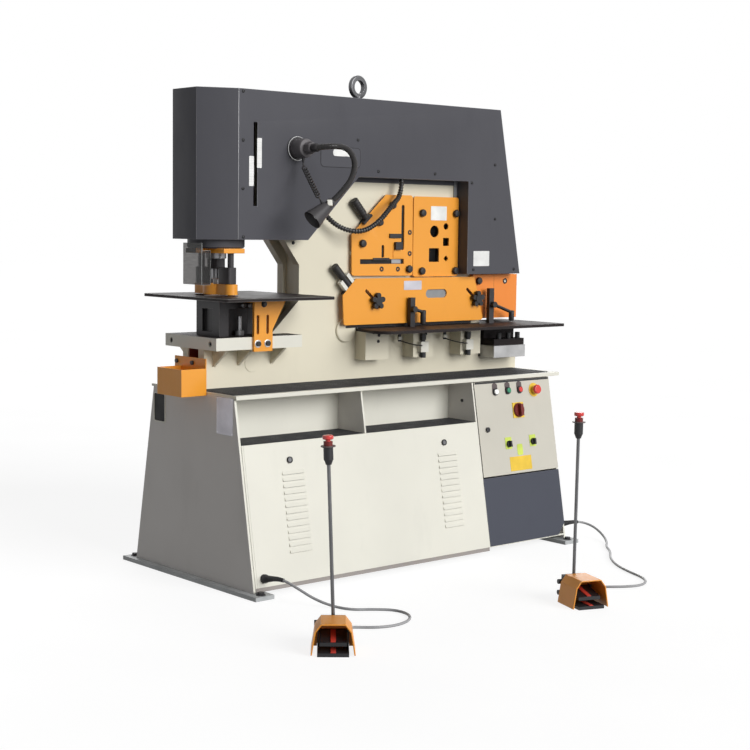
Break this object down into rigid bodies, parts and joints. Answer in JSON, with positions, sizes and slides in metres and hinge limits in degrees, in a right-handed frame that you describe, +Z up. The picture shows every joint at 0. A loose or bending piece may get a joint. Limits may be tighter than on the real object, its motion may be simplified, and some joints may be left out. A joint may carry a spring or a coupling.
{
  "type": "hydraulic ironworker",
  "caption": "Floor-standing hydraulic ironworker with a punching end, section shear, flat shear and notcher on one plate frame, worked by two foot pedals.",
  "frame": {"origin": "centre of the four anchor holes, on the floor", "axes": "+X towards the notcher end, -Y towards the operator's side, +Z up"},
  "size_m": [2.1653, 1.7446, 1.975],
  "materials": {
    "cream_paint": "satin paint",
    "charcoal_paint": "fine textured paint",
    "orange_paint": "gloss paint",
    "grey_paint": "satin paint",
    "black_steel": "black oxide and paint",
    "black_plastic": "moulded",
    "red_plastic": "moulded",
    "green_plastic": "moulded",
    "grey_plastic": "cable sheath",
    "black_rubber": "ribbed sheet",
    "tool_steel": "ground",
    "rod_chrome": "hard chromed",
    "zinc_steel": "zinc plated",
    "clear_plastic": "clear sheet",
    "yellow_plastic": "moulded"
  },
  "bodies": {
    "machine": {"foot_bars": "cream_paint", "base_cabinet": "cream_paint", "base_deck": "cream_paint", "rubber_mats": "black_rubber", "front_panel": "cream_paint", "kick_panel": "charcoal_paint", "control_gear": "zinc_steel", "hydraulic_unit": "grey_paint", "frame_front_plate": "cream_paint", "frame_rear_plate": "cream_paint", "top_casing": "charcoal_paint", "eyebolt": "zinc_steel", "punch_cylinder": "black_steel", "stripper_bracket": "orange_paint", "clear_guard": "clear_plastic", "punch_base": "cream_paint", "die_bolster": "black_steel", "fixed_tools": "tool_steel", "punch_table": "black_steel", "table_brackets": "orange_paint", "pivot_pin": "cream_paint", "shear_cylinder": "grey_paint", "section_guards": "orange_paint", "guard_knobs": "black_plastic", "flat_table": "black_steel", "table_supports": "cream_paint", "notch_guard": "orange_paint", "notch_die": "black_steel", "work_lamp": "black_plastic", "lamp_cord": "black_plastic", "conduit": "black_plastic", "pedal_guards": "orange_paint", "pedal_bases": "black_plastic", "pedal_cable_left": "grey_plastic", "pedal_cable_right": "grey_plastic", "cable_boots": "black_plastic"},
    "control_door": {"control_door": "cream_paint", "panel_fittings": "yellow_plastic"},
    "start_button": {"start_button": "green_plastic"},
    "stop_button": {"stop_button": "red_plastic"},
    "panel_estop": {"panel_estop": "red_plastic"},
    "main_switch": {"main_switch": "red_plastic"},
    "selector_left": {"selector_left": "black_plastic"},
    "selector_right": {"selector_right": "black_plastic"},
    "punch_ram": {"punch_ram": "rod_chrome"},
    "stripper_foot": {"stripper_foot": "orange_paint"},
    "shear_beam": {"shear_beam": "tool_steel"},
    "shear_rod": {"shear_rod": "rod_chrome"},
    "flat_guard": {"flat_guard": "orange_paint"},
    "holddown_lower": {"holddown_lower": "black_plastic"},
    "holddown_upper": {"holddown_upper": "black_plastic"},
    "star_knob_left": {"star_knob_left": "black_plastic"},
    "star_knob_right": {"star_knob_right": "black_plastic"},
    "clamp_lever_left": {"clamp_lever_left": "black_plastic"},
    "clamp_lever_right": {"clamp_lever_right": "black_plastic"},
    "slug_box": {"slug_box": "orange_paint"},
    "treadle_left": {"treadle_left": "black_plastic"},
    "treadle_right": {"treadle_right": "black_plastic"},
    "stalk_estop_left": {"stalk_estop_left": "red_plastic"},
    "stalk_estop_right": {"stalk_estop_right": "red_plastic"}
  },
  "joints": [
    {"name": "punch_stroke", "type": "slide", "parent": "machine", "child": "punch_ram", "axis": [0, 0, -1], "range_m": [0, 0.06]},
    {"name": "stripper_height", "type": "slide", "parent": "machine", "child": "stripper_foot", "axis": [0, 0, 1], "range_m": [0, 0.035]},
    {"name": "beam_rock", "type": "hinge", "parent": "machine", "child": "shear_beam", "pos_m": [-0.113, 0.0415, 0.936], "axis": [0, 1, 0], "range_deg": [0, 3.5]},
    {"name": "shear_rod_stroke", "type": "slide", "parent": "machine", "child": "shear_rod", "axis": [0, 0, -1], "range_m": [0, 0.04478]},
    {"name": "control_door_hinge", "type": "hinge", "parent": "machine", "child": "control_door", "pos_m": [0.846, -0.3103, 0.51527], "axis": [0, 0.1797, 0.9837], "range_deg": [0, 100]},
    {"name": "start_press", "type": "slide", "parent": "control_door", "child": "start_button", "axis": [0, 0.9837, -0.1797], "range_m": [0, 0.003], "stiffness_N_per_m": 400},
    {"name": "stop_press", "type": "slide", "parent": "control_door", "child": "stop_button", "axis": [0, 0.9837, -0.1797], "range_m": [0, 0.003], "stiffness_N_per_m": 400},
    {"name": "panel_estop_press", "type": "slide", "parent": "control_door", "child": "panel_estop", "axis": [0, 0.9837, -0.1797], "range_m": [0, 0.004]},
    {"name": "main_switch_turn", "type": "hinge", "parent": "control_door", "child": "main_switch", "pos_m": [0.634, -0.29924, 0.58249], "axis": [0, -0.9837, 0.1797], "range_deg": [0, 90]},
    {"name": "selector_left_turn", "type": "hinge", "parent": "control_door", "child": "selector_left", "pos_m": [0.554, -0.32445, 0.44449], "axis": [0, -0.9837, 0.1797], "range_deg": [-45, 45]},
    {"name": "selector_right_turn", "type": "hinge", "parent": "control_door", "child": "selector_right", "pos_m": [0.702, -0.32445, 0.44449], "axis": [0, -0.9837, 0.1797], "range_deg": [-45, 45]},
    {"name": "flat_guard_slide", "type": "slide", "parent": "machine", "child": "flat_guard", "axis": [0.7719, 0, -0.6357], "range_m": [0, 0.022]},
    {"name": "holddown_lower_turn", "type": "hinge", "parent": "flat_guard", "child": "holddown_lower", "pos_m": [-0.11704, -0.055, 1.11882], "axis": [-0.6965, 0, 0.7176], "continuous": true},
    {"name": "holddown_upper_turn", "type": "hinge", "parent": "machine", "child": "holddown_upper", "pos_m": [-0.02732, -0.052, 1.39155], "axis": [-0.6692, 0, 0.7431], "continuous": true},
    {"name": "star_knob_left_turn", "type": "hinge", "parent": "machine", "child": "star_knob_left", "pos_m": [0.02, -0.08, 1.053], "axis": [0, -1, 0], "continuous": true},
    {"name": "star_knob_right_turn", "type": "hinge", "parent": "machine", "child": "star_knob_right", "pos_m": [0.596, -0.08, 1.051], "axis": [0, -1, 0], "continuous": true},
    {"name": "clamp_lever_left_turn", "type": "hinge", "parent": "machine", "child": "clamp_lever_left", "pos_m": [0.203, -0.1, 1.016], "axis": [0, -1, 0], "range_deg": [0, 60]},
    {"name": "clamp_lever_right_turn", "type": "hinge", "parent": "machine", "child": "clamp_lever_right", "pos_m": [0.674, -0.1, 1.025], "axis": [0, -1, 0], "range_deg": [0, 60]},
    {"name": "slug_box_pull", "type": "slide", "parent": "machine", "child": "slug_box", "axis": [-1, 0, 0], "range_m": [0, 0.03]},
    {"name": "treadle_left_press", "type": "hinge", "parent": "machine", "child": "treadle_left", "pos_m": [-1.03081, -1.09073, 0.056], "axis": [0.7771, -0.6293, 0], "range_deg": [0, 8], "stiffness_Nm_per_rad": 6},
    {"name": "treadle_right_press", "type": "hinge", "parent": "machine", "child": "treadle_right", "pos_m": [0.05689, -1.17115, 0.056], "axis": [0.9397, -0.342, 0], "range_deg": [0, 8], "stiffness_Nm_per_rad": 6},
    {"name": "stalk_estop_left_press", "type": "slide", "parent": "machine", "child": "stalk_estop_left", "axis": [0.0297, -0.0258, -0.9992], "range_m": [0, 0.004]},
    {"name": "stalk_estop_right_press", "type": "slide", "parent": "machine", "child": "stalk_estop_right", "axis": [-0.0157, -0.0039, -0.9999], "range_m": [0, 0.004]}
  ],
  "couplings": [
    {"joint": "shear_rod_stroke", "follows": "beam_rock", "m_per_rad": 0.733}
  ]
}
